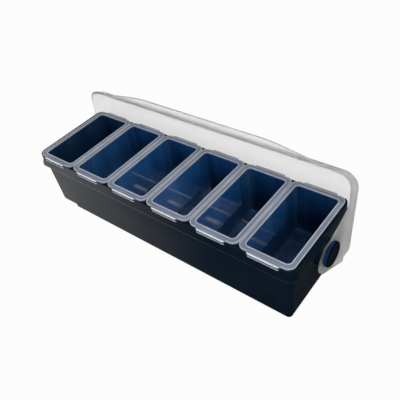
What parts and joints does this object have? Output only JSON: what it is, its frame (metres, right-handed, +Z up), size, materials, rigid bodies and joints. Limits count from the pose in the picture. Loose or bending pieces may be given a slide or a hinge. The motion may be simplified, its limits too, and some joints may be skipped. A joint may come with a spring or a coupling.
{
  "type": "condiment caddy",
  "caption": "Long black tub with a row of clear lift-out food inserts and one frosted hood that turns back on two thumb screws.",
  "frame": {"origin": "on the flat face of the plinth that the tub rests on, under the middle of the row of inserts", "axes": "+X along the row of inserts, to the right as seen from the front; +Y to the rear, where the open hood hangs; +Z up"},
  "size_m": [0.5084, 0.1705, 0.1676],
  "materials": {
    "tub_plastic": "satin moulded, near black",
    "hood_plastic": "frosted, translucent",
    "insert_plastic": "clear, polished",
    "knob_plastic": "smooth, near black",
    "stud_steel": "plain",
    "washer_plastic": "plain, off-white",
    "bush_brass": "turned"
  },
  "bodies": {
    "tub": {"tub": "tub_plastic", "left_washer": "washer_plastic", "right_washer": "washer_plastic", "left_bush": "bush_brass", "right_bush": "bush_brass"},
    "hood": {"lid": "hood_plastic"},
    "insert_1": {"insert_1": "insert_plastic"},
    "insert_2": {"insert_2": "insert_plastic"},
    "insert_3": {"insert_3": "insert_plastic"},
    "insert_4": {"insert_4": "insert_plastic"},
    "insert_5": {"insert_5": "insert_plastic"},
    "insert_6": {"insert_6": "insert_plastic"},
    "left_thumb_screw": {"left_knob": "knob_plastic", "left_stud": "stud_steel"},
    "right_thumb_screw": {"right_knob": "knob_plastic", "right_stud": "stud_steel"}
  },
  "joints": [
    {"name": "hood_hinge", "type": "hinge", "parent": "tub", "child": "hood", "pos_m": [0, 0.0075, 0.069], "axis": [-1, 0, 0], "range_deg": [-101, 0]},
    {"name": "insert_1_lift", "type": "slide", "parent": "tub", "child": "insert_1", "axis": [0, 0, 1], "range_m": [0, 0.035]},
    {"name": "insert_2_lift", "type": "slide", "parent": "tub", "child": "insert_2", "axis": [0, 0, 1], "range_m": [0, 0.035]},
    {"name": "insert_3_lift", "type": "slide", "parent": "tub", "child": "insert_3", "axis": [0, 0, 1], "range_m": [0, 0.035]},
    {"name": "insert_4_lift", "type": "slide", "parent": "tub", "child": "insert_4", "axis": [0, 0, 1], "range_m": [0, 0.035]},
    {"name": "insert_5_lift", "type": "slide", "parent": "tub", "child": "insert_5", "axis": [0, 0, 1], "range_m": [0, 0.035]},
    {"name": "insert_6_lift", "type": "slide", "parent": "tub", "child": "insert_6", "axis": [0, 0, 1], "range_m": [0, 0.035]},
    {"name": "left_screw_turn", "type": "hinge", "parent": "tub", "child": "left_thumb_screw", "pos_m": [-0.24, 0.0075, 0.069], "axis": [-1, 0, 0], "continuous": true},
    {"name": "right_screw_turn", "type": "hinge", "parent": "tub", "child": "right_thumb_screw", "pos_m": [0.24, 0.0075, 0.069], "axis": [1, 0, 0], "continuous": true}
  ]
}
